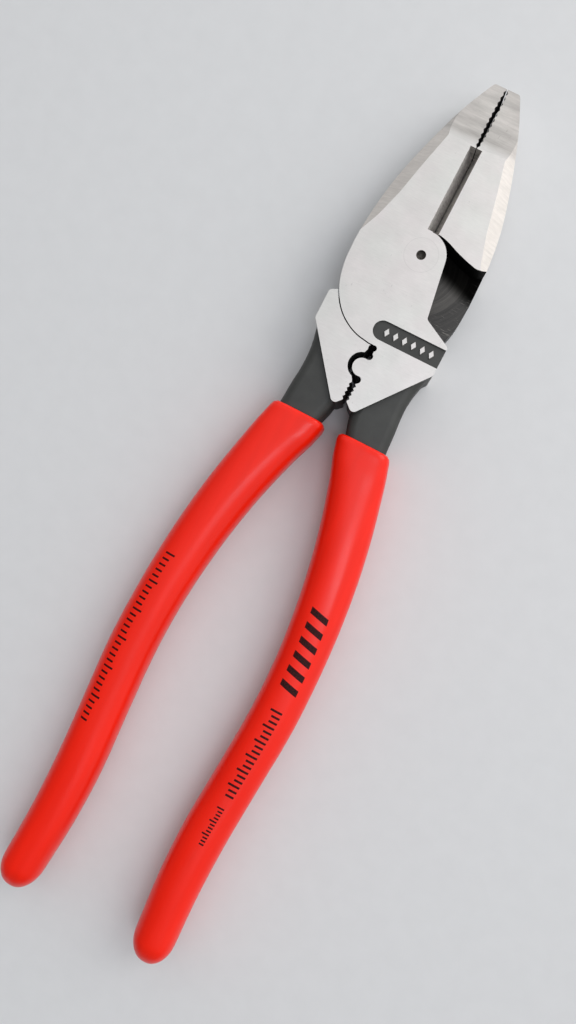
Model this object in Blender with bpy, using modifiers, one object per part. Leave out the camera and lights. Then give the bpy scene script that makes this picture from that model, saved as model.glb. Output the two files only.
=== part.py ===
"""Lineman pliers: two forged lap-jointed halves, a flush rivet and two dipped grips.

The model's frame has its origin on the pivot axis, in the plane of the head's underside.
+Y runs to the jaw tips, +X to the right-hand jaw and +Z up through the head.
Sizes are written in millimetres, and MM turns them into the scene's metres.

The two halves are the same forging. Each one is drawn in the upper half's own frame: its jaw is
on the left, its joint plate in the upper layer and its handle on the right. The lower half is
that forging turned over about the Y axis. Only the crimping profiles differ.
"""

import math

import bmesh
import bpy
from mathutils import Matrix, Vector

MM = 0.001

# Head
HEAD_THICKNESS = 15.0
MID_HEIGHT = HEAD_THICKNESS / 2
JAW_TIP_Y = 46.3
JAW_CLEARANCE = 0.12        # from the centre plane to a closed jaw's face
SEAM_GAP = 0.3              # between the two halves, in plan
LAP_GAP = 0.2               # between the two joint plates, in height
HUB_RADIUS = 6.2            # round shoulder of the joint plate
HUB_TANGENT_DEG = 9.7       # where the plate's straight side leaves the shoulder
CUTTER_REACH = 24.0         # from the centre plane to past the head's sides
OVERRUN = 2.0               # how far a cutter reaches past the surface that it cuts

# Jaw outline, from the tip to the end of the seam under the joint
TIP_CHAMFER = 0.5           # width of the small slant between the gripping face and the tip
TIP_CORNER = (-3.35, 46.3, 0.8)     # x, y and fillet radius
JAW_SIDE = [
    (-3.9, 45.4), (-6.3, 40.2), (-9.9, 31.0), (-12.7, 22.5), (-14.9, 14.0), (-16.1, 5.0), (-16.45, -4.0),
]
PLATE_SEAM = [
    (-16.45, -4.0), (-16.1, -10.0), (-14.3, -16.2), (-10.0, -21.7), (-5.6, -24.1), (-1.6, -24.9),
]
# Lower edge of the jaw's full thickness, from the hub outwards
JAW_SHOULDER = [
    (0.0, 6.5), (-1.6, 6.4), (-4.0, 5.85), (-8.1, 4.3), (-12.0, 3.15), (-13.7, 2.8), (-14.8, 2.95),
    (-16.0, 3.6), (-18.5, 5.2),
]
# Outer side of the crimping jaw, from its end up to the hub: x, y and fillet radius
CRIMP_SIDE = [
    (2.75, -42.45, 1.2), (16.35, -25.15, 0.8), (16.35, -17.4, 0.9), (8.65, -13.45, 1.0),
]

# Cutting edges: a groove from both faces, down to an edge at mid height
GROOVE_START_Y = 6.35
GROOVE_END_Y = 29.1
GROOVE_HALF_WIDTH = 1.55    # at the face
GROOVE_KNEE = (1.0, 10.4)   # half width and height where the steep wall turns into the cutting bevel
EDGE_LAND = 0.15

# Gripping teeth
TEETH_START_Y = 29.4
TEETH_END_Y = 46.0
TOOTH_COUNT = 11
TOOTH_DEPTH = 0.34
PIPE_GRIP_DEPTH = 0.30      # how far each gripping face bows back

# Ground nose: a hollow left by the grinding wheel, then a flat that tapers to the tip
NOSE_START_Y = 29.3
NOSE_WHEEL_RADIUS = 25.0
NOSE_START_DEG = 20.0
NOSE_TAPER_DEG = 4.0
NOSE_STEPS = 8

# Ground bevel along the outside of each jaw
BEVEL_LINE = [(-5.2, 38.0), (-7.7, 29.2), (-10.0, 20.0), (-11.9, 11.5), (-14.0, 4.6), (-17.0, -2.5)]
BEVEL_SLOPE = 0.66
BEVEL_REACH = 9.0

# Crimping profiles, from the joint downwards. A round is a centre, a radius and two angles.
INDENTER_ROUNDS = [
    ((0.25, -25.65), 0.78, 107.0, -60.0),   # relief
    ((0.2, -27.85), 0.9, 60.0, -85.0),      # relief
    ((-0.3, -31.1), 2.35, 75.0, 285.0),     # the indenter's boss
    ((0.15, -34.35), 0.95, 72.0, -50.0),    # relief
]
INDENTER_TOOTH_X = 0.25
NEST_LEAD_IN = [(0.6, -24.95), (1.1, -25.5), (1.0, -26.5)]
NEST_ROUND = ((0.5, -30.8), 3.45, 76.0, -72.0)
NEST_HEEL = (0.95, -34.95)
NEST_TOOTH_X = 0.8
CRIMP_TOOTH_START_Y = -35.5
CRIMP_TOOTH_PITCH = 1.15
CRIMP_TOOTH_COUNT = 4
CRIMP_TOOTH_DEPTH = 0.45
CRIMP_TOOTH_HEEL = (0.1, -0.3)      # from the last tooth to where the jaw's end begins

# Sunk band with a plain row of raised lozenges, on the crimping jaw's face
BAND_CENTRE_Y = -20.7
BAND_RADIUS = 2.5
BAND_START_X = 0.2
BAND_DEPTH = 0.5
LOZENGE_COUNT = 6
LOZENGE_FIRST_X = 1.3
LOZENGE_PITCH = 2.45
LOZENGE_HALF = (0.8, 1.35)  # at the band's floor
LOZENGE_TAPER = 0.2
LOZENGE_HEIGHT = 0.38

# Rivet
RIVET_RADIUS = 3.5
RIVET_HEAD_RADIUS = 4.3
RIVET_HEAD_HEIGHT = 1.3
RIVET_CLEARANCE = 0.08
DIMPLE_RADIUS = 1.15
DIMPLE_DEPTH = 1.7
DIMPLE_CONE = (0.92, 0.5)   # radius and height of the drilled bottom

# Handle: outer and inner edges of the steel tang and of the grip over it, and half thicknesses
TANG = [
    # y, outer x, inner x, half thickness
    (-26.0, 15.5, 4.6, 6.2),
    (-31.5, 14.4, 3.6, 6.2),
    (-36.0, 14.2, 2.9, 6.2),
    (-42.0, 14.7, 2.3, 6.1),
    (-47.5, 15.1, 3.7, 5.8),
    (-56.0, 16.9, 6.2, 5.2),
    (-75.0, 21.0, 11.8, 4.6),
    (-107.0, 24.4, 16.3, 4.3),
    (-122.0, 24.5, 16.7, 4.2),
    (-157.0, 22.9, 14.8, 4.2),
    (-171.0, 22.8, 15.1, 4.1),
    (-184.0, 23.2, 16.3, 4.0),
]
TANG_CORNER = 2.6
CORNER_SHARE = 0.95         # a corner's radius is at most this share of a section's half width
CORNER_STEP_DEG = 22.5
TANG_TIP_LENGTH = 3.5
HOLLOW_START_Y = -42.0      # the hollow in the grip is cut from above the grip's mouth
GRIP = [
    # y, outer x, inner x, half thickness, exponent of the superelliptic section
    (-47.6, 16.2, 2.4, 7.0, 4.6),
    (-48.2, 16.6, 2.1, 7.2, 4.6),
    (-51.0, 17.6, 2.5, 7.25, 4.2),
    (-59.0, 19.8, 5.1, 7.0, 3.6),
    (-75.0, 23.3, 9.45, 6.75, 3.1),
    (-91.0, 25.5, 12.4, 6.6, 2.9),
    (-107.0, 26.6, 14.1, 6.5, 2.8),
    (-121.0, 26.85, 14.45, 6.45, 2.8),
    (-139.0, 25.9, 13.65, 6.4, 2.7),
    (-157.0, 25.0, 12.7, 6.4, 2.7),
    (-171.0, 24.9, 13.0, 6.35, 2.6),
    (-185.5, 25.5, 14.2, 6.2, 2.5),
]
GRIP_END_LENGTH = 7.6
GRIP_GAP = 0.2
END_LEAN = 0.04             # how far the rounded ends lean outwards, as a share of their length
END_SHARPNESS = 1.12        # above 1, the rounded ends are a little pointed
END_CLOSING = 0.94          # share of the quarter turn that an end is drawn for

ARC_STEP_DEG = 10.0
ROUND_SEGMENTS = 64
OVAL_POINTS = 36
SMOOTH_ANGLE = math.radians(28.0)

# Materials
STEEL = {"colour": (0.62, 0.60, 0.58), "roughness": 0.38, "metallic": 1.0}
DIPPED_PLASTIC = {"colour": (0.80, 0.022, 0.012), "roughness": 0.25, "metallic": 0.0}


# Plan curves, in millimetres

def arc(centre, radius, start_deg, end_deg, step_deg=ARC_STEP_DEG):
    """Points on a circle, both ends included."""
    steps = math.ceil(abs(end_deg - start_deg) / step_deg)
    angles = [math.radians(start_deg + (end_deg - start_deg) * i / steps) for i in range(steps + 1)]
    return [(centre[0] + radius * math.cos(a), centre[1] + radius * math.sin(a)) for a in angles]


def through(points, steps):
    """A smooth curve through points of any dimension, with steps pieces in each span."""
    first = Vector(points[0])
    last = Vector(points[-1])
    knots = [2 * first - Vector(points[1])] + [Vector(p) for p in points] + [2 * last - Vector(points[-2])]
    curve = []
    for p0, p1, p2, p3 in zip(knots, knots[1:], knots[2:], knots[3:]):
        # Tangents are scaled to the spans, so that uneven spacing doesn't overshoot
        before = (p1 - p0).length
        span = (p2 - p1).length
        after = (p3 - p2).length
        leaving = span * ((p1 - p0) / before * span + (p2 - p1) / span * before) / (before + span)
        arriving = span * ((p2 - p1) / span * after + (p3 - p2) / after * span) / (span + after)
        for i in range(steps):
            t = i / steps
            curve.append(tuple(
                p1 * (2 * t**3 - 3 * t**2 + 1) + leaving * (t**3 - 2 * t**2 + t)
                + p2 * (3 * t**2 - 2 * t**3) + arriving * (t**3 - t**2)
            ))
    curve.append(tuple(last))
    return curve


def filleted(corners, steps=5):
    """An open path through corners given as x, y and fillet radius."""
    path = [corners[0][:2]]
    for before, corner, after in zip(corners, corners[1:], corners[2:]):
        here = Vector(corner[:2])
        back = (Vector(before[:2]) - here).normalized()
        ahead = (Vector(after[:2]) - here).normalized()
        half_angle = back.angle(ahead) / 2
        reach = corner[2] / math.tan(half_angle)
        middle = here + (back + ahead).normalized() * corner[2] / math.sin(half_angle)
        start = here + back * reach - middle
        end = here + ahead * reach - middle
        turn = start.angle_signed(end)
        for i in range(steps + 1):
            angle = -turn * i / steps
            turned = Vector((
                start.x * math.cos(angle) - start.y * math.sin(angle),
                start.x * math.sin(angle) + start.y * math.cos(angle),
            ))
            path.append(tuple(middle + turned))
    path.append(corners[-1][:2])
    return path


def offset(path, distance):
    """The path moved sideways, to the right of its direction."""
    moved = []
    for i, point in enumerate(path):
        before = Vector(path[max(i - 1, 0)])
        after = Vector(path[min(i + 1, len(path) - 1)])
        along = (after - before).normalized()
        moved.append((point[0] + along.y * distance, point[1] - along.x * distance))
    return moved


def mirrored(path):
    return [(-x, y) for x, y in path]


# Shapes

def collection(name):
    group = bpy.data.collections.new(name)
    bpy.context.scene.collection.children.link(group)
    return group


def new_object(name, mesh, group):
    part = bpy.data.objects.new(name, mesh)
    group.objects.link(part)
    return part


def plate(name, outline, low, high, group):
    """A flat plate between two heights."""
    curve = bpy.data.curves.new(name, "CURVE")
    curve.dimensions = "2D"
    curve.fill_mode = "BOTH"
    curve.extrude = (high - low) / 2 * MM
    spline = curve.splines.new("POLY")
    spline.points.add(len(outline) - 1)
    for point, (x, y) in zip(spline.points, outline):
        point.co = (x * MM, y * MM, 0.0, 1.0)
    spline.use_cyclic_u = True
    guide = new_object(name + "_outline", curve, group)
    guide.location.z = (low + high) / 2 * MM
    bpy.context.view_layer.update()
    mesh = bpy.data.meshes.new_from_object(guide.evaluated_get(bpy.context.evaluated_depsgraph_get()))
    mesh.transform(guide.matrix_world)
    bpy.data.objects.remove(guide)
    body = bmesh.new()
    body.from_mesh(mesh)
    bmesh.ops.remove_doubles(body, verts=body.verts, dist=1e-7)
    bmesh.ops.recalc_face_normals(body, faces=body.faces)
    body.to_mesh(mesh)
    body.free()
    return new_object(name, mesh, group)


def loft(name, sections, group):
    """A solid through closed sections with equal numbers of points, capped at both ends."""
    body = bmesh.new()
    rings = [[body.verts.new([c * MM for c in point]) for point in section] for section in sections]
    for ring, following in zip(rings, rings[1:]):
        for i in range(len(ring)):
            j = (i + 1) % len(ring)
            body.faces.new((ring[i], ring[j], following[j], following[i]))
    body.faces.new(rings[0])
    body.faces.new(rings[-1])
    bmesh.ops.recalc_face_normals(body, faces=body.faces)
    mesh = bpy.data.meshes.new(name)
    body.to_mesh(mesh)
    body.free()
    return new_object(name, mesh, group)


def turned(name, profile, group):
    """A solid of revolution about Z, from a profile of radius and height, top to bottom."""
    mesh = bpy.data.meshes.new(name)
    points = [(r * MM, 0.0, z * MM) for r, z in profile]
    mesh.from_pydata(points, [(i, i + 1) for i in range(len(points) - 1)], [])
    part = new_object(name, mesh, group)
    screw = part.modifiers.new("turn", "SCREW")
    screw.steps = screw.render_steps = ROUND_SEGMENTS
    screw.use_merge_vertices = True
    screw.merge_threshold = 1e-7
    return part


def as_cutter(part, frame):
    part.parent = frame
    part.hide_render = True
    part.display_type = "WIRE"
    return part


def boolean(part, tool, operation="DIFFERENCE"):
    step = part.modifiers.new(tool.name, "BOOLEAN")
    step.operation = operation
    step.solver = "EXACT"
    step.object = tool


def finish(part, material, frame):
    part.parent = frame
    part.data.materials.clear()
    part.data.materials.append(material)
    part.data.shade_smooth()
    part.data.set_sharp_from_angle(angle=SMOOTH_ANGLE)


def principled(name, colour, roughness, metallic):
    material = bpy.data.materials.new(name)
    material.use_nodes = True
    shader = material.node_tree.nodes["Principled BSDF"]
    shader.inputs["Base Color"].default_value = (*colour, 1.0)
    shader.inputs["Roughness"].default_value = roughness
    shader.inputs["Metallic"].default_value = metallic
    material.diffuse_color = (*colour, 1.0)
    return material


# One half of the pliers

def gripping_teeth():
    """The jaw's gripping face, from the cutting edge to the tip: a bowed row of V teeth."""
    pitch = (TEETH_END_Y - TEETH_START_Y) / TOOTH_COUNT
    path = []
    for i in range(2 * TOOTH_COUNT + 1):
        bow = PIPE_GRIP_DEPTH * math.sqrt(math.sin(math.pi * i / (2 * TOOTH_COUNT)))
        root = TOOTH_DEPTH * (i % 2)
        path.append((-JAW_CLEARANCE - bow - root, TEETH_START_Y + pitch * i / 2))
    return path


def crimping_teeth(tooth_x):
    path = []
    for i in range(2 * CRIMP_TOOTH_COUNT + 1):
        root = CRIMP_TOOTH_DEPTH * (i % 2)
        path.append((tooth_x + root, CRIMP_TOOTH_START_Y - CRIMP_TOOTH_PITCH * i / 2))
    return path


def indenter_profile():
    """Two relief rounds, the indenter's boss, a third relief round and the small teeth."""
    path = []
    for centre, radius, start, end in INDENTER_ROUNDS:
        path += arc(centre, radius, start, end)
    return path + crimping_teeth(INDENTER_TOOTH_X)


def nest_profile():
    """A short lead-in, the round nest and the small teeth."""
    return NEST_LEAD_IN + arc(*NEST_ROUND) + [NEST_HEEL] + crimping_teeth(NEST_TOOTH_X)


def half_outline(crimp_profile):
    """The half's whole outline in plan, counter-clockwise from the jaw tip."""
    face_x = -JAW_CLEARANCE
    outline = [(face_x, JAW_TIP_Y)]
    outline += filleted([(face_x - TIP_CHAMFER, JAW_TIP_Y, 0), TIP_CORNER, (*JAW_SIDE[0], 0)])
    outline += through(JAW_SIDE, 5)[1:]
    outline += through(PLATE_SEAM, 6)[1:]
    outline += crimp_profile
    heel = (crimp_profile[-1][0] + CRIMP_TOOTH_HEEL[0], crimp_profile[-1][1] + CRIMP_TOOTH_HEEL[1], 0)
    hub = arc((0, 0), HUB_RADIUS, HUB_TANGENT_DEG, 90 + math.degrees(math.asin(JAW_CLEARANCE / HUB_RADIUS)))
    outline += filleted([heel, *CRIMP_SIDE, (*hub[0], 0)])
    return outline + hub[1:] + gripping_teeth()


def lap_outline():
    """The space in the lower layer that the other half's joint plate turns in."""
    seam = offset(through(PLATE_SEAM, 6), SEAM_GAP)
    outline = [(CUTTER_REACH, JAW_SHOULDER[0][1])]
    outline += through(JAW_SHOULDER, 4)
    outline += [(-CUTTER_REACH, JAW_SHOULDER[-1][1]), (-CUTTER_REACH, seam[-1][1])]
    return outline + mirrored(reversed(seam)) + [(CUTTER_REACH, seam[0][1])]


def groove_cutter(group):
    """The clearance behind the cutting edge, from both faces of one jaw."""
    knee_x, knee_z = GROOVE_KNEE
    wall_slope = (GROOVE_HALF_WIDTH - knee_x) / (HEAD_THICKNESS - knee_z)
    top = HEAD_THICKNESS + OVERRUN
    upper_wall = [
        (-JAW_CLEARANCE, MID_HEIGHT + EDGE_LAND), (-knee_x, knee_z),
        (-GROOVE_HALF_WIDTH - OVERRUN * wall_slope, top), (OVERRUN, top),
    ]
    lower_wall = [(x, HEAD_THICKNESS - z) for x, z in reversed(upper_wall)]
    ends = [[(x, y, z) for x, z in lower_wall + upper_wall] for y in (GROOVE_START_Y, GROOVE_END_Y)]
    return loft("groove_cutter", ends, group)


def face_side(height, side):
    """A height measured down from the upper face, or up from the lower one."""
    return HEAD_THICKNESS - height if side > 0 else height


def nose_cutter(side, group):
    """What the wheel takes off one face of the nose."""
    start = math.radians(NOSE_START_DEG)
    taper = math.radians(NOSE_TAPER_DEG)
    profile = [(NOSE_START_Y - OVERRUN, -OVERRUN * math.tan(start))]
    for i in range(NOSE_STEPS + 1):
        angle = start + (taper - start) * i / NOSE_STEPS
        y = NOSE_START_Y + NOSE_WHEEL_RADIUS * (math.sin(start) - math.sin(angle))
        profile.append((y, NOSE_WHEEL_RADIUS * (math.cos(angle) - math.cos(start))))
    flat_y, flat_depth = profile[-1]
    end_y = JAW_TIP_Y + OVERRUN
    profile += [(end_y, flat_depth + (end_y - flat_y) * math.tan(taper)), (end_y, -OVERRUN)]
    ends = [[(x, y, face_side(depth, side)) for y, depth in profile] for x in (-CUTTER_REACH, OVERRUN)]
    return loft("nose_cutter", ends, group)


def bevel_cutter(side, group):
    """What the bevel along the outside of the jaw takes off one face."""
    sections = []
    for x, y in BEVEL_LINE:
        sections.append([
            (x + OVERRUN / BEVEL_SLOPE, y, face_side(-OVERRUN, side)),
            (x - BEVEL_REACH, y, face_side(BEVEL_REACH * BEVEL_SLOPE, side)),
            (x - BEVEL_REACH, y, face_side(-OVERRUN, side)),
        ])
    return loft("bevel_cutter", sections, group)


def band_cutter(group):
    """The sunk band, which runs out through the side of the crimping jaw."""
    band = arc((BAND_START_X, BAND_CENTRE_Y), BAND_RADIUS, 90.0, 270.0)
    band += [(CUTTER_REACH, BAND_CENTRE_Y - BAND_RADIUS), (CUTTER_REACH, BAND_CENTRE_Y + BAND_RADIUS)]
    return plate("band_cutter", band, HEAD_THICKNESS - BAND_DEPTH, HEAD_THICKNESS + OVERRUN, group)


def lozenge_row(group):
    """Flat-topped four-sided studs that stand in the band, rooted under its floor."""
    stretch = Matrix.Diagonal((*LOZENGE_HALF, 1, 1))
    body = bmesh.new()
    for i in range(LOZENGE_COUNT):
        place = (LOZENGE_FIRST_X + LOZENGE_PITCH * i, BAND_CENTRE_Y, HEAD_THICKNESS - BAND_DEPTH)
        bmesh.ops.create_cone(
            body, cap_ends=True, segments=4, radius1=1 + LOZENGE_TAPER, radius2=1 - LOZENGE_TAPER,
            depth=2 * LOZENGE_HEIGHT, matrix=Matrix.Scale(MM, 4) @ Matrix.Translation(place) @ stretch,
        )
    mesh = bpy.data.meshes.new("lozenges")
    body.to_mesh(mesh)
    body.free()
    return new_object("lozenges", mesh, group)


def rounded_section(y, outer, inner, half_thickness, corner):
    """A rectangle with round corners, across the handle."""
    middle = (outer + inner) / 2
    half_width = (outer - inner) / 2
    corner = min(corner, CORNER_SHARE * half_width, CORNER_SHARE * half_thickness)
    section = []
    for side_x, side_z, start in ((1, 1, 0), (-1, 1, 90), (-1, -1, 180), (1, -1, 270)):
        centre = (side_x * (half_width - corner), side_z * (half_thickness - corner))
        section += arc(centre, corner, start, start + 90, CORNER_STEP_DEG)
    return [(middle + x, y, MID_HEIGHT + z) for x, z in section]


def oval_section(y, outer, inner, half_thickness, exponent):
    """A superellipse across the handle."""
    power = 2 / exponent
    section = []
    for i in range(OVAL_POINTS):
        angle = 2 * math.pi * (i + 0.5) / OVAL_POINTS
        c = math.cos(angle)
        s = math.sin(angle)
        x = (outer - inner) / 2 * math.copysign(abs(c) ** power, c)
        z = half_thickness * math.copysign(abs(s) ** power, s)
        section.append(((outer + inner) / 2 + x, y, MID_HEIGHT + z))
    return section


def round_end(station, length, steps):
    """Stations that close the handle's end in a round point. The last is nearly a point."""
    y, outer, inner, half_thickness, *shape = station
    ends = []
    for i in range(1, steps + 1):
        angle = math.pi / 2 * END_CLOSING * i / steps
        scale = math.cos(angle) ** END_SHARPNESS
        middle = (outer + inner) / 2 + END_LEAN * length * math.sin(angle)
        half_width = (outer - inner) / 2 * scale
        end_y = y - length * math.sin(angle)
        ends.append((end_y, middle + half_width, middle - half_width, half_thickness * scale, *shape))
    return ends


def tang_solid(name, room, group):
    """The steel handle under the grip. Room widens it all round, for the hollow in the grip."""
    stations = through(TANG, 3)
    if room:
        stations = [station for station in stations if station[0] < HOLLOW_START_Y]
    stations += round_end(TANG[-1], TANG_TIP_LENGTH + room, 4)
    sections = []
    for y, outer, inner, half_thickness in stations:
        sections.append(rounded_section(y, outer + room, inner - room, half_thickness + room, TANG_CORNER))
    return loft(name, sections, group)


def build_half(name, crimp_profile, material, frame, parts, cutters):
    half = plate(name, half_outline(crimp_profile), 0.0, HEAD_THICKNESS, parts)
    boolean(half, as_cutter(tang_solid("tang", 0.0, cutters), frame), "UNION")
    lap = plate("lap_cutter", lap_outline(), -OVERRUN, MID_HEIGHT + LAP_GAP / 2, cutters)
    bore = turned("bore_cutter", rivet_profile(RIVET_CLEARANCE), cutters)
    tools = [lap, groove_cutter(cutters), band_cutter(cutters), bore]
    tools += [nose_cutter(side, cutters) for side in (1, -1)]
    tools += [bevel_cutter(side, cutters) for side in (1, -1)]
    for tool in tools:
        boolean(half, as_cutter(tool, frame))
    boolean(half, as_cutter(lozenge_row(cutters), frame), "UNION")
    finish(half, material, frame)


def build_grip(name, material, frame, parts, cutters):
    stations = through(GRIP, 3) + round_end(GRIP[-1], GRIP_END_LENGTH, 7)
    grip = loft(name, [oval_section(*station) for station in stations], parts)
    boolean(grip, as_cutter(tang_solid("hollow_cutter", GRIP_GAP, cutters), frame))
    finish(grip, material, frame)


# Rivet

def rivet_profile(room):
    """Radius and height down the rivet: a shank between two countersunk heads, with room all round."""
    shank = RIVET_RADIUS + room
    head = RIVET_HEAD_RADIUS + room
    top = HEAD_THICKNESS + room
    return [
        (0.0, top), (head, top), (shank, HEAD_THICKNESS - RIVET_HEAD_HEIGHT),
        (shank, RIVET_HEAD_HEIGHT), (head, -room), (0.0, -room),
    ]


def build_rivet(name, material, parts):
    floor = HEAD_THICKNESS - DIMPLE_DEPTH
    cone_radius, cone_height = DIMPLE_CONE
    dimple = [(0.0, floor), (cone_radius, floor + cone_height), (DIMPLE_RADIUS, HEAD_THICKNESS)]
    rivet = turned(name, dimple + rivet_profile(0.0)[1:], parts)
    finish(rivet, material, None)


def half_frame(name, turned_over, group):
    """The empty on the pivot axis that a half and its cutters hang from."""
    frame = bpy.data.objects.new(name, None)
    group.objects.link(frame)
    if turned_over:
        frame.location.z = HEAD_THICKNESS * MM
        frame.rotation_euler.y = math.pi
    return frame


def main():
    for old in list(bpy.data.objects):
        bpy.data.objects.remove(old)
    parts = collection("lineman_pliers")
    cutters = collection("cutters")

    steel = principled("ground_steel", **STEEL)
    plastic = principled("dipped_plastic", **DIPPED_PLASTIC)

    upper = half_frame("upper_half_frame", False, parts)
    lower = half_frame("lower_half_frame", True, parts)
    build_half("upper_half", indenter_profile(), steel, upper, parts, cutters)
    build_half("lower_half", nest_profile(), steel, lower, parts, cutters)
    build_grip("right_grip", plastic, upper, parts, cutters)
    build_grip("left_grip", plastic, lower, parts, cutters)
    build_rivet("pivot_rivet", steel, parts)


main()
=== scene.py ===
"""Looks of the lineman pliers: ground and blackened steel, dipped red grips with plain printed marks."""

import math

import bmesh
import bpy
from mathutils import Matrix, Vector


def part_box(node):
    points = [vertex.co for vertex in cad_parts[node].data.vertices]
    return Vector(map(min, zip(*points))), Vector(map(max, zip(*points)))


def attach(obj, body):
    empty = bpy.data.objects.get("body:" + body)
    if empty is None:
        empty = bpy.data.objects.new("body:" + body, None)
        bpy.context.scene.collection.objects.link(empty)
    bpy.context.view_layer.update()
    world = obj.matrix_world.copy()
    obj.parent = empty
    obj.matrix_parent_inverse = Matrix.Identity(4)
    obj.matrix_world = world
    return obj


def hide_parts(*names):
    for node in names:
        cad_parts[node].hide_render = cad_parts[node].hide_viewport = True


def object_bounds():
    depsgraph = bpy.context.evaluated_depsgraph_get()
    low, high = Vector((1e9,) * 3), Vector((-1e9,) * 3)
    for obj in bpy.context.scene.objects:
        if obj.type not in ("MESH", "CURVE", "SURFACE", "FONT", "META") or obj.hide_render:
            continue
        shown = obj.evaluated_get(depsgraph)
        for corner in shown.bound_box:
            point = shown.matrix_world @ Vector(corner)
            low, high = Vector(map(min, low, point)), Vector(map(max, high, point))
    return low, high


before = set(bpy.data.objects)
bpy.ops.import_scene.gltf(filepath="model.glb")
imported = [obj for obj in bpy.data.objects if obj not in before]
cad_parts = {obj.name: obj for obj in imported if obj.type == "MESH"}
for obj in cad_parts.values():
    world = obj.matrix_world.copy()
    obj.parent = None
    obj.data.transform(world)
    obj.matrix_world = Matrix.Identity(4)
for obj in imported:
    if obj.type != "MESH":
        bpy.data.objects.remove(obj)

CAD_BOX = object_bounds()

MM = 0.001
MID_HEIGHT = 7.5 * MM               # middle plane of the head

# Camera: a phone held above the tool, a little to the right of its joint
CAMERA_PLACE = (13.44 * MM, -64.67 * MM, 211.5 * MM)
CAMERA_RIGHT = (0.8845, 0.4603, -0.0760)
CAMERA_UP = (-0.4615, 0.8871, 0.0012)
CAMERA_LENS = 27.77
CAMERA_SENSOR = 36.0
CAMERA_CLIP_START = 0.01

# Light: a key and a low window in front of the tool on its right, two strips over the handles, and
# soft white surroundings that are brighter in front. Each light is a place, a size and a power.
AIM = (0.0, -0.05, 0.0)
KEY = ((0.34, 0.36, 0.46), (0.40, 0.40), 1.52)
FRONT_STRIP = ((0.25, -0.14, 1.0), (0.12, 0.40), 1.35)
REAR_STRIP = ((0.25, -0.60, 1.0), (0.12, 0.50), 0.3)
WINDOW = ((0.42, 0.40, 0.18), (0.4, 0.3), 0.11)
WARM_WHITE = (1.0, 0.985, 0.965)
SKY_WHITE = (0.94, 0.965, 1.08)
SURROUNDINGS_WHITE = (0.97, 0.98, 1.0, 1.0)
BRIGHT_SIDE = (0.35, 0.8, 0.25)
DIM_TO_BRIGHT = (-0.40, 0.45)       # cosines of the angle from the bright side
SURROUNDINGS = (0.16, 1.08)         # strengths on the dim and the bright side
FLOOR_HALF_SIZE = 3.0
FLOOR_DROP = 0.05 * MM              # from the lowest point of the tool

# Base colours
ROSY_STEEL = (0.605, 0.577, 0.562, 1.0)
GREENISH_STEEL = (0.590, 0.585, 0.560, 1.0)
WHEEL_STEEL = (0.60, 0.565, 0.530, 1.0)
FORGING_BLACK = (0.030, 0.031, 0.028, 1.0)
LAP_BLACK = (0.046, 0.043, 0.039, 1.0)
MILLED_GREY = (0.63, 0.605, 0.575, 1.0)
DIMPLE_DIRT = (0.10, 0.09, 0.08, 1.0)
DEEP_RED = (0.81, 0.0115, 0.0015, 1.0)
BRIGHT_RED = (0.85, 0.0150, 0.0030, 1.0)
SOIL_BROWN = (0.35, 0.02, 0.015, 1.0)
INK_BLACK = (0.007, 0.003, 0.003, 1.0)
WORN_INK = (0.16, 0.008, 0.006, 1.0)
FLOOR_WHITE = (0.62, 0.625, 0.625, 1.0)

# Where the steel's finishes begin and end, in millimetres: y is from the pivot, heights are from the
# head's middle plane
GROUND_ALL_OVER_Y = (-3.5, -2.5)    # in front of this the bevels and the nose are ground too
FACE_HEIGHT = 7.12                  # lowest ground point behind it
BEVEL_HEIGHT = 4.0                  # lowest ground point in front of it, away from the sides
UPRIGHT = 0.4                       # a steeper face has a normal with a smaller z than this
TURNED = (0.08, 0.1)                # softness of a limit on a normal, fine and coarse
SIDE_LINE = (8.0, 46.0, 12.9, -4.2)     # between two y, the least |x| of a ground side at each
JAW_SIDES_Y = 2.6
CRIMPING_SIDES_Y = (-25.3, -16.8)
CRIMPING_SIDES_X = 15.4
TIP_Y = 44.0
NOSE_Y = 31.2
TEETH_Y = 29.3
GROOVE_Y = 6.0
GROOVE_REACH_X = 2.2
SHOULDER_Y = -1.0
LAP_HEIGHT = 1.0
RUBBED_RADIUS = 13.3                # the other plate rubs the lap's floor inside this
SCRATCHED_RADIUS = 14.5
LAP_SHADOW_EDGE = (2.0, 2.0, 0.35)             # limit, softness and slant of the edge of the painted shadow on the lap, under the jaw
DIMPLE_PIT_RADIUS = 1.22
RIM_RADIUS = 4.2

# Smooth shading of the halves
WELD_DISTANCE = 0.002 * MM
FLAT_ANGLE = math.radians(0.5)
EDGE_WIDTH = 0.1 * MM
EDGE_SEGMENTS = 2
EDGE_ANGLE = math.radians(32.0)

# Rivet
RIVET_HEAD_RADIUS = 4.365 * MM
RIVET_SHANK_RADIUS = 3.5 * MM
RIVET_CONE = 1.3 * MM               # height of the countersunk heads
RIVET_EDGE = 0.02 * MM              # the heads' blunted edge
RIVET_STEPS = 96
RIVET_SHARP_ANGLE = math.radians(30)
RIVET_MERGE = 0.0001 * MM
# The dimple's wall from its bottom to its mouth: radius and depth in millimetres
DIMPLE = [(0.0, 1.7), (0.5, 1.45), (0.92, 1.2), (1.12, 0.9), (1.14, 0.06), (1.20, 0.0)]

# Grips. A full section has at least so many points, and the first one is behind the given y.
GRIP_SECTIONS = (30, -47 * MM)
TANG_SECTIONS = (16, -44 * MM)
AROUND = 96                         # points round a grip's section
SPAN_STEPS = 5                      # sections between two of the frame's
LIP_RADIUS = 0.42 * MM
LIP_STEPS = 5
HOLLOW_GAP = 0.12 * MM              # from the tang to the grip's inner wall
HOLLOW_EXPONENT = 5.0
HOLLOW_STEPS = 3
HOLLOW_MOUTH_STEPS = 24
HOLLOW_END_GAP = 0.3 * MM
TIP_RISE = 0.03 * MM                # of the closed end's middle over its last section
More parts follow.
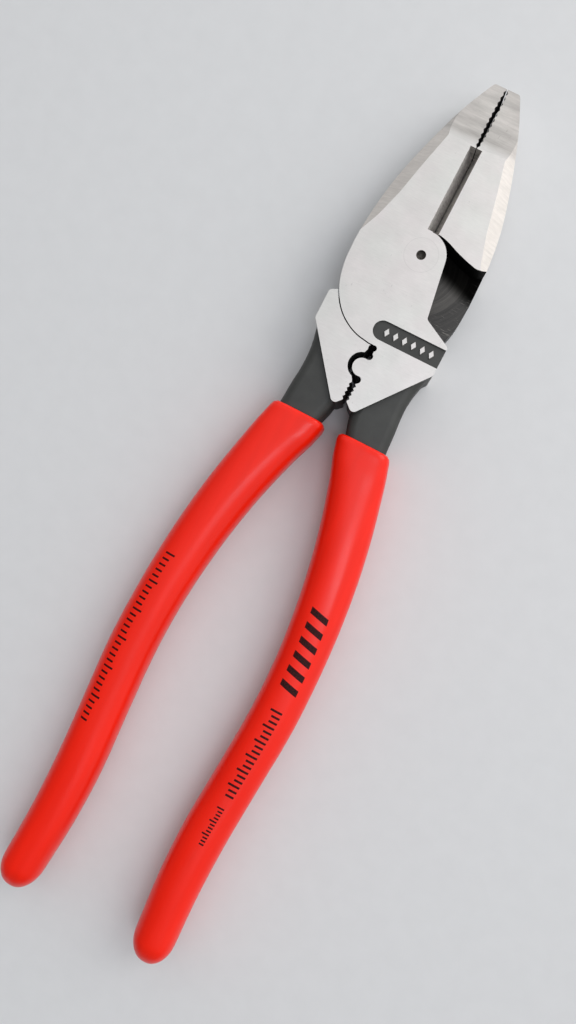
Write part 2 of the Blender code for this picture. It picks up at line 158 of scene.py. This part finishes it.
# The section's exponent falls from a rounded rectangle's at the mouth to an oval's behind
MOUTH_Y = -48 * MM
MOUTH_EXPONENT = 4.55
OVAL_EXPONENT = 2.45
ROUNDING_LENGTH = 11 * MM
ROUNDING_POWER = 1.3

# Printed marks, in millimetres: across is from the grip's middle line, away from the other grip
INK_RISE = 0.045
INK_DEPTH = 0.12
MARK_STEPS = (6, 3)
BAR_COUNT = 6
BAR_START_Y = -89.5
BAR_PITCH = 3.9
BAR_WIDTH = 1.7
BAR_SLANT = 1.2
BAR_ACROSS = (-2.4, 2.6)
# Tick rows: count, first y, pitch, width, every how many a long one, and the places across where the
# long and the short ticks start and where both end
COARSE_TICKS = (18, -117.0, 1.45, 0.55, 3, -1.7, -0.8, 1.5)
FINE_TICKS = (12, -145.5, 0.95, 0.4, 4, -1.0, -0.3, 1.0)
LEFT_TICKS = (30, -94.5, 1.65, 0.5, 5, 1.0, 1.7, 3.6)


# Node trees

class Nodes:
    """Builds a material's node tree. Every method returns the socket that holds its result."""

    def __init__(self, name):
        self.material = bpy.data.materials.new(name)
        self.material.use_nodes = True
        self.tree = self.material.node_tree
        self.shader = self.tree.nodes["Principled BSDF"]

    def add(self, kind, inputs=None, output=0, **settings):
        node = self.tree.nodes.new("ShaderNode" + kind)
        for key, value in settings.items():
            setattr(node, key, value)
        for key, value in (inputs or {}).items():
            self.feed(node.inputs[key], value)
        return node.outputs[output]

    def feed(self, socket, value):
        if isinstance(value, bpy.types.NodeSocket):
            self.tree.links.new(value, socket)
        else:
            socket.default_value = value

    def constants(self, **values):
        """Numbers that are the same all over the surface, on the shader's own sockets."""
        for key, value in values.items():
            self.shader.inputs[key.replace("_", " ").title().replace("Ior", "IOR")].default_value = value

    def math(self, operation, a, b=0.0):
        return self.add("Math", {0: a, 1: b}, operation=operation)

    def plus(self, a, b):
        return self.math("ADD", a, b)

    def minus(self, a, b):
        return self.math("SUBTRACT", a, b)

    def times(self, *values):
        result = values[0]
        for value in values[1:]:
            result = self.math("MULTIPLY", result, value)
        return result

    def at_least(self, value, limit, softness):
        """0 below the limit and 1 above it, with a soft step."""
        return self.add("MapRange", {
            "Value": value, "From Min": limit - softness, "From Max": limit + softness,
        }, interpolation_type="SMOOTHSTEP")

    def at_most(self, value, limit, softness):
        return self.invert(self.at_least(value, limit, softness))

    def either(self, *values):
        result = values[0]
        for value in values[1:]:
            result = self.math("MAXIMUM", result, value)
        return result

    def magnitude(self, value):
        return self.math("ABSOLUTE", value)

    def invert(self, value):
        return self.minus(1.0, value)

    def millimetres(self):
        """Object coordinates in millimetres, as one vector and as x, y and z."""
        place = self.add("TexCoord", output="Object")
        scaled = self.add("VectorMath", {0: place, "Scale": 1 / MM}, operation="SCALE")
        return scaled, *self.parts(scaled)

    def normal(self):
        return self.parts(self.add("TexCoord", output="Normal"))

    def parts(self, vector):
        self.add("SeparateXYZ", {0: vector})
        return tuple(self.tree.nodes[-1].outputs)

    def radius(self, vector):
        """Distance from the pivot's axis."""
        flat = self.stretched(vector, (1.0, 1.0, 0.0))
        return self.add("VectorMath", {0: flat}, output="Value", operation="LENGTH")

    def stretched(self, vector, scale, turn=0.0):
        return self.add("Mapping", {"Vector": vector, "Scale": scale, "Rotation": (0.0, 0.0, turn)})

    def noise(self, vector, scale=1.0, detail=3.0, roughness=0.55):
        return self.add("TexNoise", {
            "Vector": vector, "Scale": scale, "Detail": detail, "Roughness": roughness,
        })

    def remap(self, value, low, high, to_low, to_high):
        return self.add("MapRange", {
            "Value": value, "From Min": low, "From Max": high, "To Min": to_low, "To Max": to_high,
        })

    def vary(self, noise, low, high, reach=0.2):
        """Spreads a noise's usual values, within reach of one half, from low to high."""
        return self.remap(noise, 0.5 - reach, 0.5 + reach, low, high)

    def mix(self, factor, a, b):
        return self.add("Mix", {0: factor, 6: a, 7: b}, output=2, data_type="RGBA")

    def blend(self, factor, a, b):
        return self.add("Mix", {0: factor, 2: a, 3: b}, data_type="FLOAT")

    def tint(self, colour, amount):
        """The colour times a grey amount."""
        grey = self.add("CombineColor", {0: amount, 1: amount, 2: amount})
        sockets = {0: 1.0, 6: colour, 7: grey}
        return self.add("Mix", sockets, output=2, data_type="RGBA", blend_type="MULTIPLY")

    def bump(self, height, strength, distance):
        return self.add("Bump", {"Height": height, "Strength": strength, "Distance": distance})

    def surface(self, **inputs):
        for key, value in inputs.items():
            self.feed(self.shader.inputs[key.replace("_", " ").title()], value)
        return self.material


# Materials

def ground_mask(nodes, x, y, height, normal):
    """1 where the steel is ground bright: the faces, the bevels, the nose and the head's outer sides."""
    fine, coarse = TURNED
    lowest = nodes.remap(y, *GROUND_ALL_OVER_Y, FACE_HEIGHT, BEVEL_HEIGHT)
    faces = nodes.times(
        nodes.at_least(nodes.minus(height, lowest), 0.0, 0.06),
        nodes.at_least(nodes.magnitude(normal[2]), UPRIGHT, fine),
    )
    outward = nodes.times(nodes.math("SIGN", x), normal[0])
    beyond = nodes.minus(nodes.magnitude(x), nodes.remap(y, *SIDE_LINE))
    jaws = nodes.times(nodes.at_least(y, JAW_SIDES_Y, 0.3), nodes.at_least(normal[1], -0.35, coarse))
    crimping_jaws = nodes.times(
        nodes.at_least(y, CRIMPING_SIDES_Y[0], 0.15), nodes.at_most(y, CRIMPING_SIDES_Y[1], 0.15),
        nodes.at_least(nodes.magnitude(x), CRIMPING_SIDES_X, 0.2),
    )
    sides = nodes.times(
        nodes.at_least(outward, 0.35, fine), nodes.at_least(beyond, 0.0, 0.1),
        nodes.either(jaws, crimping_jaws),
    )
    tip = nodes.times(nodes.at_least(normal[1], 0.6, coarse), nodes.at_least(y, TIP_Y, 0.2))
    return nodes.either(faces, sides, tip)


def ground_steel(nodes, place, y, normal):
    """Colour, roughness and relief of ground faces: mottled satin, banded by the wheel on the nose."""
    fine, coarse = TURNED
    lying = nodes.at_least(nodes.magnitude(normal[2]), UPRIGHT, fine)
    nose = nodes.times(nodes.at_least(y, NOSE_Y, 1.3), lying)
    bevels = nodes.times(nodes.at_least(nodes.magnitude(normal[0]), 0.3, fine), lying)
    wheel_ground = nodes.either(nose, bevels)

    # Grinding lines: crossed and fine on the flat faces, coarser and all one way from the wheel
    rising = nodes.noise(nodes.stretched(place, (0.5, 7.0, 0.5), 0.35))
    falling = nodes.noise(nodes.stretched(place, (0.6, 6.0, 0.5), -0.5))
    wheel = nodes.noise(nodes.stretched(place, (0.12, 4.2, 0.3), 0.03), detail=4.0, roughness=0.7)
    lines = nodes.blend(wheel_ground, nodes.blend(0.5, rising, falling), wheel)
    streaks = nodes.noise(nodes.stretched(place, (0.22, 1.9, 0.25), -0.35), detail=4.0, roughness=0.75)
    bands = nodes.noise(nodes.stretched(place, (0.05, 0.55, 0.02), 0.03), detail=2.0)
    mottle = nodes.noise(place, scale=0.22, detail=4.0)

    # Small handling marks, in a few places
    dents = nodes.noise(nodes.stretched(place, (1.7, 0.8, 1.0), 0.6), detail=2.0)
    handled = nodes.noise(place, scale=0.12, detail=1.0)
    marks = nodes.times(nodes.at_least(dents, 0.70, 0.02), nodes.at_least(handled, 0.56, 0.05))

    shade = nodes.times(
        nodes.vary(mottle, 0.955, 1.03), nodes.vary(lines, 0.94, 1.045),
        nodes.blend(nose, 1.0, nodes.vary(bands, 0.68, 0.86, reach=0.15)),
        nodes.blend(wheel_ground, 1.0, nodes.vary(streaks, 0.90, 1.07, reach=0.18)),
        nodes.blend(marks, 1.0, 0.82),
    )
    stain = nodes.noise(place, scale=0.09)
    tone = nodes.mix(nodes.vary(stain, 0.0, 1.0, reach=0.15), ROSY_STEEL, GREENISH_STEEL)
    tone = nodes.mix(nodes.times(nose, 0.7), tone, WHEEL_STEEL)
    tone = nodes.mix(nodes.times(bevels, nodes.invert(nose)), tone, WHEEL_STEEL)
    rough = nodes.vary(nodes.noise(place, scale=0.6, detail=4.0), 0.36, 0.47)
    return nodes.tint(tone, shade), rough, lines


def lap_floor(nodes, place, x, y):
    """Colour of the joint's hidden floor, and where a painted shadow makes it dark and dull: black, with
    turned rings.
    """
    radius = nodes.radius(place)
    rings = nodes.add("CombineXYZ", {0: nodes.times(radius, 2.1), 1: nodes.times(x, 0.16)})
    swirl = nodes.noise(rings, detail=4.0, roughness=0.65)
    rubbed = nodes.at_most(radius, RUBBED_RADIUS, 0.3)
    scores = nodes.noise(nodes.stretched(place, (0.35, 4.5, 1.0), 0.5), detail=2.0)
    scratches = nodes.times(nodes.at_least(scores, 0.66, 0.03), nodes.at_least(radius, SCRATCHED_RADIUS, 1.5))
    shade = nodes.times(nodes.vary(swirl, 0.6, 1.7), nodes.blend(rubbed, 0.55, 1.2))
    shade = nodes.plus(shade, nodes.times(scratches, 3.0))
    # Painted shadow under the jaw's curved shoulder, fading out backwards and towards -X
    limit, softness, slant = LAP_SHADOW_EDGE
    lap_shadow = nodes.at_least(nodes.plus(y, nodes.times(x, slant)), limit, softness)
    shade = nodes.times(shade, nodes.blend(lap_shadow, 1.0, 0.16))
    return nodes.tint(LAP_BLACK, shade), lap_shadow


def steel_material():
    """Both halves: bright ground faces over a black forging, told apart by place and slope."""
    nodes = Nodes("forged_steel")
    place, x, y, z = nodes.millimetres()
    height = nodes.magnitude(nodes.minus(z, MID_HEIGHT / MM))
    normal = nodes.normal()
    ground = ground_mask(nodes, x, y, height, normal)
    bright, bright_rough, lines = ground_steel(nodes, place, y, normal)

    # Black forging with a fine phosphate grain, and painted shade that darkens the wall under the jaw's
    # shoulder
    grain = nodes.noise(place, scale=3.2, detail=5.0, roughness=0.65)
    patches = nodes.noise(place, scale=0.18)
    shoulder_shade = nodes.times(nodes.at_least(y, SHOULDER_Y, 1.5), nodes.at_most(normal[1], -0.3, 0.1))
    scale = nodes.times(
        nodes.vary(nodes.blend(0.5, grain, patches), 0.75, 1.3, reach=0.15), nodes.blend(shoulder_shade, 1.0, 0.25),
    )
    lap = nodes.times(
        nodes.at_least(nodes.magnitude(normal[2]), 0.8, 0.1), nodes.at_most(height, LAP_HEIGHT, 0.3),
    )
    lap_colour, lap_shadow = lap_floor(nodes, place, x, y)
    black = nodes.mix(lap, nodes.tint(FORGING_BLACK, scale), lap_colour)
    # Painted shade on the shoulder's wall and on the lap under the jaw, away from the ground faces
    shadow_matt = nodes.times(nodes.either(shoulder_shade, nodes.times(lap, lap_shadow)), nodes.invert(ground))

    # Cutting groove and gripping teeth: dark grey, milled across, the teeth darker still with painted shade
    # of the narrow gap between the jaws
    near_middle = nodes.at_most(nodes.magnitude(x), GROOVE_REACH_X, 0.2)
    flank = nodes.times(
        nodes.at_least(y, GROOVE_Y, 0.3), near_middle, nodes.invert(ground), nodes.invert(lap),
    )
    milled = nodes.noise(nodes.stretched(place, (0.2, 2.4, 0.8), 0.3), detail=4.0)
    shaded_teeth = nodes.at_least(y, TEETH_Y, 0.1)
    grey = nodes.tint(MILLED_GREY, nodes.times(nodes.vary(milled, 0.65, 1.25), nodes.blend(shaded_teeth, 1.0, 0.22)))
    dark = nodes.mix(flank, black, grey)

    # Where the shade is painted, on the shoulder's wall and the lap, the steel is near black and metallic, so
    # that it has no sheen: the painted shadow takes away the reflection too
    metal = nodes.either(ground, shadow_matt, nodes.times(flank, 0.35))
    dull_rough = nodes.blend(shadow_matt, nodes.vary(grain, 0.48, 0.66), 0.8)
    return nodes.surface(
        base_color=nodes.mix(ground, dark, bright), metallic=metal,
        roughness=nodes.blend(ground, dull_rough, bright_rough),
        normal=nodes.bump(nodes.blend(ground, grain, lines), 0.35, 0.00003),
    )


def rivet_material():
    """The rivet's flush ends: ground with the head, with a faint rim and a dark dimple in the upper one."""
    nodes = Nodes("rivet_steel")
    place, _, y, z = nodes.millimetres()
    bright, rough, lines = ground_steel(nodes, place, y, nodes.normal())
    radius = nodes.radius(place)
    pit = nodes.times(
        nodes.at_most(radius, DIMPLE_PIT_RADIUS, 0.04), nodes.at_least(z, MID_HEIGHT / MM, 0.1),
    )
    dirt = nodes.tint(DIMPLE_DIRT, nodes.vary(nodes.noise(place, scale=2.5), 0.5, 1.6))
    rimmed = nodes.tint(bright, nodes.blend(nodes.at_least(radius, RIM_RADIUS, 0.08), 1.0, 0.90))
    return nodes.surface(
        base_color=nodes.mix(pit, rimmed, dirt), roughness=nodes.blend(pit, rough, 0.6),
        metallic=nodes.blend(pit, 1.0, 0.5), normal=nodes.bump(lines, 0.3, 0.00003),
    )


def grip_material():
    """Dipped plastic: saturated red with a soft gloss, faint flow marks and a little soil."""
    nodes = Nodes("grip_plastic")
    place = nodes.millimetres()[0]
    flow = nodes.noise(nodes.stretched(place, (0.3, 0.03, 0.3)))
    cloud = nodes.noise(place, scale=0.09)
    red = nodes.tint(nodes.mix(cloud, DEEP_RED, BRIGHT_RED), nodes.vary(flow, 0.96, 1.04))
    specks = nodes.noise(place, scale=2.4, detail=2.0)
    soil = nodes.times(nodes.at_least(specks, 0.73, 0.03), nodes.at_least(cloud, 0.52, 0.1))
    red = nodes.mix(nodes.times(soil, 0.3), red, SOIL_BROWN)
    peel = nodes.noise(place, scale=0.9, detail=2.0)
    ripple = nodes.noise(nodes.stretched(place, (0.16, 0.05, 0.16)), detail=2.0)
    rough = nodes.vary(nodes.blend(0.5, cloud, peel), 0.29, 0.34, reach=0.15)
    nodes.constants(
        specular_ior_level=0.26, coat_weight=0.07, coat_roughness=0.14,
        subsurface_weight=0.05, subsurface_radius=(0.002, 0.0004, 0.0002),
    )
    return nodes.surface(
        base_color=red, roughness=rough, normal=nodes.bump(nodes.blend(0.35, ripple, peel), 0.25, 0.00010),
    )


def ink_material():
    """Black marking ink, slightly worn through."""
    nodes = Nodes("marking_ink")
    place = nodes.millimetres()[0]
    worn = nodes.noise(place, scale=3.0, detail=4.0)
    colour = nodes.mix(nodes.remap(worn, 0.4, 0.75, 0.0, 0.5), INK_BLACK, WORN_INK)
    nodes.constants(specular_ior_level=0.12)
    return nodes.surface(base_color=colour, roughness=nodes.vary(worn, 0.40, 0.55))


def floor_material():
    """A plain pale studio floor with the faintest grain."""
    nodes = Nodes("studio_floor")
    grain = nodes.noise(nodes.add("TexCoord", output="Object"), scale=180.0)
    nodes.constants(roughness=0.75)
    return nodes.surface(base_color=nodes.tint(FLOOR_WHITE, nodes.vary(grain, 0.985, 1.01)))


# Meshes

def finished_mesh(name, body):
    """Turns a bmesh into a mesh with its faces turned outwards."""
    bmesh.ops.recalc_face_normals(body, faces=body.faces)
    mesh = bpy.data.meshes.new(name)
    body.to_mesh(mesh)
    body.free()
    return mesh


def new_piece(name, mesh, material, body):
    piece = bpy.data.objects.new(name, mesh)
    bpy.context.scene.collection.objects.link(piece)
    mesh.materials.append(material)
    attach(piece, body)
    return piece


def rings(node, least_points, below):
    """The CAD node's sections across Y, as y, outer |x|, inner |x| and half thickness, from the front."""
    places = {}
    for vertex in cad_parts[node].data.vertices:
        x, y, z = vertex.co
        if y < below:
            places.setdefault(round(y / MM, 2), set()).add((round(x, 6), round(z, 6)))
    stations = []
    for y, points in sorted(places.items(), reverse=True):
        if len(points) >= least_points:
            across = [abs(x) for x, z in points]
            half = (max(z for x, z in points) - min(z for x, z in points)) / 2
            stations.append((y * MM, max(across), min(across), half))
    return stations


def through(points, steps):
    """A smooth curve through points, with steps pieces in each span."""
    knots = [Vector(p) for p in points]
    knots = [2 * knots[0] - knots[1], *knots, 2 * knots[-1] - knots[-2]]
    curve = []
    for p0, p1, p2, p3 in zip(knots, knots[1:], knots[2:], knots[3:]):
        span = p1[0] - p2[0]
        leaving = (p2 - p0) * span / (p0[0] - p2[0])
        arriving = (p3 - p1) * span / (p1[0] - p3[0])
        for i in range(steps):
            t = i / steps
            curve.append(
                p1 * (2 * t**3 - 3 * t**2 + 1) + leaving * (t**3 - 2 * t**2 + t)
                + p2 * (3 * t**2 - 2 * t**3) + arriving * (t**3 - t**2)
            )
    curve.append(knots[-2])
    return curve


def squareness(y):
    """Exponent of the grip's section: nearly a rounded rectangle at the mouth, rounder behind."""
    if y >= MOUTH_Y:
        return MOUTH_EXPONENT
    fading = math.exp(-((MOUTH_Y - y) / ROUNDING_LENGTH) ** ROUNDING_POWER)
    return OVAL_EXPONENT + (MOUTH_EXPONENT - OVAL_EXPONENT) * fading


def section(side, station, exponent, inset=0.0):
    """A superellipse across the handle. Side is 1 for the right grip and -1 for the left one."""
    y, outer, inner, half = station
    middle = (outer + inner) / 2
    half_width = (outer - inner) / 2 - inset
    half_height = half - inset
    points = []
    for i in range(AROUND):
        angle = 2 * math.pi * (i + 0.5) / AROUND
        c = math.cos(angle)
        s = math.sin(angle)
        x = middle + half_width * math.copysign(abs(c) ** (2 / exponent), c)
        z = MID_HEIGHT + half_height * math.copysign(abs(s) ** (2 / exponent), s)
        points.append((side * x, y, z))
    return points


def skin(name, sections, start_point, end_point):
    """A closed mesh through rings of equal size, fanned in to a point at each end."""
    body = bmesh.new()
    loops = [[body.verts.new(p) for p in ring] for ring in sections]
    for ring, following in zip(loops, loops[1:]):
        for i in range(AROUND):
            j = (i + 1) % AROUND
            body.faces.new((ring[i], ring[j], following[j], following[i]))
    for ring, point in ((loops[0], start_point), (loops[-1], end_point)):
        pole = body.verts.new(point)
        for i in range(AROUND):
            body.faces.new((ring[i], ring[(i + 1) % AROUND], pole))
    mesh = finished_mesh(name, body)
    mesh.shade_smooth()
    return mesh


def build_grip(name, half_node, node, body, side, material):
    """A dipped sleeve: a smooth outer skin, a rounded lip and a hollow round the tang."""
    outer = through(rings(node, *GRIP_SECTIONS), SPAN_STEPS)
    tang = rings(half_node, *TANG_SECTIONS)
    mouth = outer[0]
    sections = []
    # Outer skin, from the closed end to just behind the lip
    for station in reversed(outer):
        if station[0] < mouth[0] - LIP_RADIUS:
            sections.append(section(side, station, squareness(station[0])))
    # The lip's round edge
    for i in range(1, LIP_STEPS + 1):
        angle = math.pi / 2 * i / LIP_STEPS
        inset = LIP_RADIUS * (1 - math.cos(angle))
        y = mouth[0] - LIP_RADIUS * (1 - math.sin(angle))
        sections.append(section(side, (y, *mouth[1:]), squareness(mouth[0]), inset))
    # The hollow, from the mouth to its end round the tang's tip
    hollow = [s for s in through(tang, HOLLOW_STEPS) if s[0] < mouth[0]]
    start = next(s for s in through(tang, HOLLOW_MOUTH_STEPS) if s[0] < mouth[0])
    hollow.insert(0, Vector((mouth[0], *start[1:])))
    for station in hollow:
        sections.append(section(side, station, HOLLOW_EXPONENT, -HOLLOW_GAP))
    tip = outer[-1]
    tang_tip = hollow[-1]
    start_point = (side * (tip[1] + tip[2]) / 2, tip[0] - TIP_RISE, MID_HEIGHT)
    end_point = (side * (tang_tip[1] + tang_tip[2]) / 2, tang_tip[0] - HOLLOW_END_GAP, MID_HEIGHT)
    piece = new_piece(name, skin(name, sections, start_point, end_point), material, body)
    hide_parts(node)
    return outer


def mark_point(side, stations, y, across, lift):
    """A point on the grip's upper face, at y and across from the middle line, lifted off it."""
    for front, back in zip(stations, stations[1:]):
        if back[0] <= y <= front[0]:
            break
    t = (front[0] - y) / (front[0] - back[0])
    station = front.lerp(back, t)
    middle = (station[1] + station[2]) / 2
    half_width = (station[1] - station[2]) / 2
    exponent = squareness(y)
    rise = station[3] * (1 - abs(across / half_width) ** exponent) ** (1 / exponent)
    return Vector((side * (middle + across), y, MID_HEIGHT + rise + lift))


def print_mark(body, side, stations, corners):
    """A thin closed slab of ink between four corners, each y and across in mm, that follows the grip."""
    along, wide = MARK_STEPS
    (y0, a0), (y1, a1), (y2, a2), (y3, a3) = [(y * MM, across * MM) for y, across in corners]

    def corner_at(u, v):
        y = (y0 * (1 - u) + y1 * u) * (1 - v) + (y3 * (1 - u) + y2 * u) * v
        across = (a0 * (1 - u) + a1 * u) * (1 - v) + (a3 * (1 - u) + a2 * u) * v
        return y, across

    layers = []
    for lift in (INK_RISE * MM, -INK_DEPTH * MM):
        layer = {}
        for i in range(along + 1):
            for j in range(wide + 1):
                y, across = corner_at(i / along, j / wide)
                layer[i, j] = body.verts.new(mark_point(side, stations, y, across, lift))
        layers.append(layer)
    for layer in layers:
        for i in range(along):
            for j in range(wide):
                body.faces.new((layer[i, j], layer[i + 1, j], layer[i + 1, j + 1], layer[i, j + 1]))
    top, bottom = layers
    rim = [(i, 0) for i in range(along)] + [(along, j) for j in range(wide)]
    rim += [(i, wide) for i in range(along, 0, -1)] + [(0, j) for j in range(wide, 0, -1)]
    for here, following in zip(rim, rim[1:] + rim[:1]):
        body.faces.new((top[here], top[following], bottom[following], bottom[here]))


def print_bars(body, side, stations):
    start, end = BAR_ACROSS
    for i in range(BAR_COUNT):
        y = BAR_START_Y - BAR_PITCH * i
        print_mark(body, side, stations, [
            (y, start), (y - BAR_SLANT, end), (y - BAR_SLANT - BAR_WIDTH, end), (y - BAR_WIDTH, start),
        ])


def print_ticks(body, side, stations, row):
    count, first_y, pitch, width, every, long_start, short_start, end = row
    for i in range(count):
        y = first_y - pitch * i
        start = short_start if i % every else long_start
        print_mark(body, side, stations, [(y, start), (y, end), (y - width, end), (y - width, start)])


def build_marks(right, left, material):
    """Plain printed marks: slanted bars and two tick rows on the right grip, one row on the left."""
    body = bmesh.new()
    print_bars(body, 1, right)
    print_ticks(body, 1, right, COARSE_TICKS)
    print_ticks(body, 1, right, FINE_TICKS)
    new_piece("right_grip_marks", finished_mesh("right_grip_marks", body), material, "upper")
    body = bmesh.new()
    print_ticks(body, -1, left, LEFT_TICKS)
    new_piece("left_grip_marks", finished_mesh("left_grip_marks", body), material, "lower")


def build_rivet(material):
    """The riveted pivot: a shank between two flush countersunk heads, peened out to meet the plates."""
    low, high = [corner.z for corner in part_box("pivot_rivet")]
    profile = [(radius * MM, high - depth * MM) for radius, depth in DIMPLE] + [
        (RIVET_HEAD_RADIUS - RIVET_EDGE, high), (RIVET_HEAD_RADIUS, high - RIVET_EDGE),
        (RIVET_SHANK_RADIUS, high - RIVET_CONE), (RIVET_SHANK_RADIUS, low + RIVET_CONE),
        (RIVET_HEAD_RADIUS, low + RIVET_EDGE), (RIVET_HEAD_RADIUS - RIVET_EDGE, low), (0.0, low),
    ]
    body = bmesh.new()
    corners = [body.verts.new((radius, 0.0, z)) for radius, z in profile]
    edges = [body.edges.new(pair) for pair in zip(corners, corners[1:])]
    bmesh.ops.spin(
        body, geom=corners + edges, axis=(0, 0, 1), cent=(0, 0, 0),
        angle=2 * math.pi, steps=RIVET_STEPS, use_merge=True,
    )
    bmesh.ops.remove_doubles(body, verts=body.verts, dist=RIVET_MERGE)
    mesh = finished_mesh("rivet", body)
    mesh.shade_smooth()
    mesh.set_sharp_from_angle(angle=RIVET_SHARP_ANGLE)
    piece = new_piece("rivet", mesh, material, "lower")
    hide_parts("pivot_rivet")


def dress(node, material):
    """Gives a CAD node its material, blunt edges and smooth shading over its flat facets."""
    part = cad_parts[node]
    part.data.materials.clear()
    part.data.materials.append(material)
    weld = part.modifiers.new("weld", "WELD")
    weld.merge_threshold = WELD_DISTANCE
    flat = part.modifiers.new("flat_faces", "DECIMATE")
    flat.decimate_type = "DISSOLVE"
    flat.angle_limit = FLAT_ANGLE
    bevel = part.modifiers.new("edges", "BEVEL")
    bevel.width = EDGE_WIDTH
    bevel.segments = EDGE_SEGMENTS
    bevel.limit_method = "ANGLE"
    bevel.angle_limit = EDGE_ANGLE
    bevel.use_clamp_overlap = True
    weighted = part.modifiers.new("shading", "WEIGHTED_NORMAL")
    weighted.weight = 100
    weighted.keep_sharp = False


# Studio

def build_camera():
    data = bpy.data.cameras.new("camera")
    camera = bpy.data.objects.new("camera", data)
    bpy.context.scene.collection.objects.link(camera)
    right = Vector(CAMERA_RIGHT).normalized()
    back = right.cross(Vector(CAMERA_UP)).normalized()
    up = back.cross(right)
    turn = Matrix((right, up, back)).transposed().to_4x4()
    camera.matrix_world = Matrix.Translation(CAMERA_PLACE) @ turn
    data.lens = CAMERA_LENS
    data.sensor_width = CAMERA_SENSOR
    data.clip_start = CAMERA_CLIP_START
    bpy.context.scene.camera = camera


def add_light(name, place, size, power, target, colour=WARM_WHITE):
    data = bpy.data.lights.new(name, "AREA")
    data.shape = "RECTANGLE"
    data.size, data.size_y = size
    data.energy = power
    data.color = colour
    light = bpy.data.objects.new(name, data)
    light.location = place
    light.rotation_mode = "QUATERNION"
    light.rotation_quaternion = (Vector(target) - Vector(place)).to_track_quat("-Z", "Y")
    bpy.context.scene.collection.objects.link(light)


def build_world():
    """Plain white surroundings that grow dimmer away from the bright side."""
    world = bpy.data.worlds.new("studio")
    bpy.context.scene.world = world
    world.use_nodes = True
    tree = world.node_tree
    place = tree.nodes.new("ShaderNodeTexCoord")
    along = tree.nodes.new("ShaderNodeVectorMath")
    along.operation = "DOT_PRODUCT"
    along.inputs[1].default_value = Vector(BRIGHT_SIDE).normalized()
    strength = tree.nodes.new("ShaderNodeMapRange")
    strength.interpolation_type = "SMOOTHSTEP"
    strength.inputs["From Min"].default_value, strength.inputs["From Max"].default_value = DIM_TO_BRIGHT
    strength.inputs["To Min"].default_value, strength.inputs["To Max"].default_value = SURROUNDINGS
    background = tree.nodes["Background"]
    background.inputs["Color"].default_value = SURROUNDINGS_WHITE
    tree.links.new(place.outputs["Generated"], along.inputs[0])
    tree.links.new(along.outputs["Value"], strength.inputs["Value"])
    tree.links.new(strength.outputs["Result"], background.inputs["Strength"])


def build_studio():
    body = bmesh.new()
    bmesh.ops.create_grid(body, x_segments=4, y_segments=4, size=FLOOR_HALF_SIZE)
    mesh = bpy.data.meshes.new("studio_floor")
    body.to_mesh(mesh)
    body.free()
    mesh.materials.append(floor_material())
    floor = bpy.data.objects.new("studio_floor", mesh)
    floor.location.z = CAD_BOX[0].z - FLOOR_DROP
    bpy.context.scene.collection.objects.link(floor)

    add_light("key", *KEY, AIM)
    add_light("front_strip", *FRONT_STRIP, (0.0, FRONT_STRIP[0][1], 0.0), SKY_WHITE)
    add_light("rear_strip", *REAR_STRIP, (0.0, REAR_STRIP[0][1], 0.0), SKY_WHITE)
    add_light("window", *WINDOW, AIM)
    build_world()
    bpy.context.scene.view_settings.view_transform = "Standard"


def main():
    build_camera()
    build_studio()
    steel = steel_material()
    dress("upper_half", steel)
    dress("lower_half", steel)
    build_rivet(rivet_material())
    plastic = grip_material()
    right = build_grip("right_grip_skin", "upper_half", "right_grip", "upper", 1, plastic)
    left = build_grip("left_grip_skin", "lower_half", "left_grip", "lower", -1, plastic)
    build_marks(right, left, ink_material())


main()
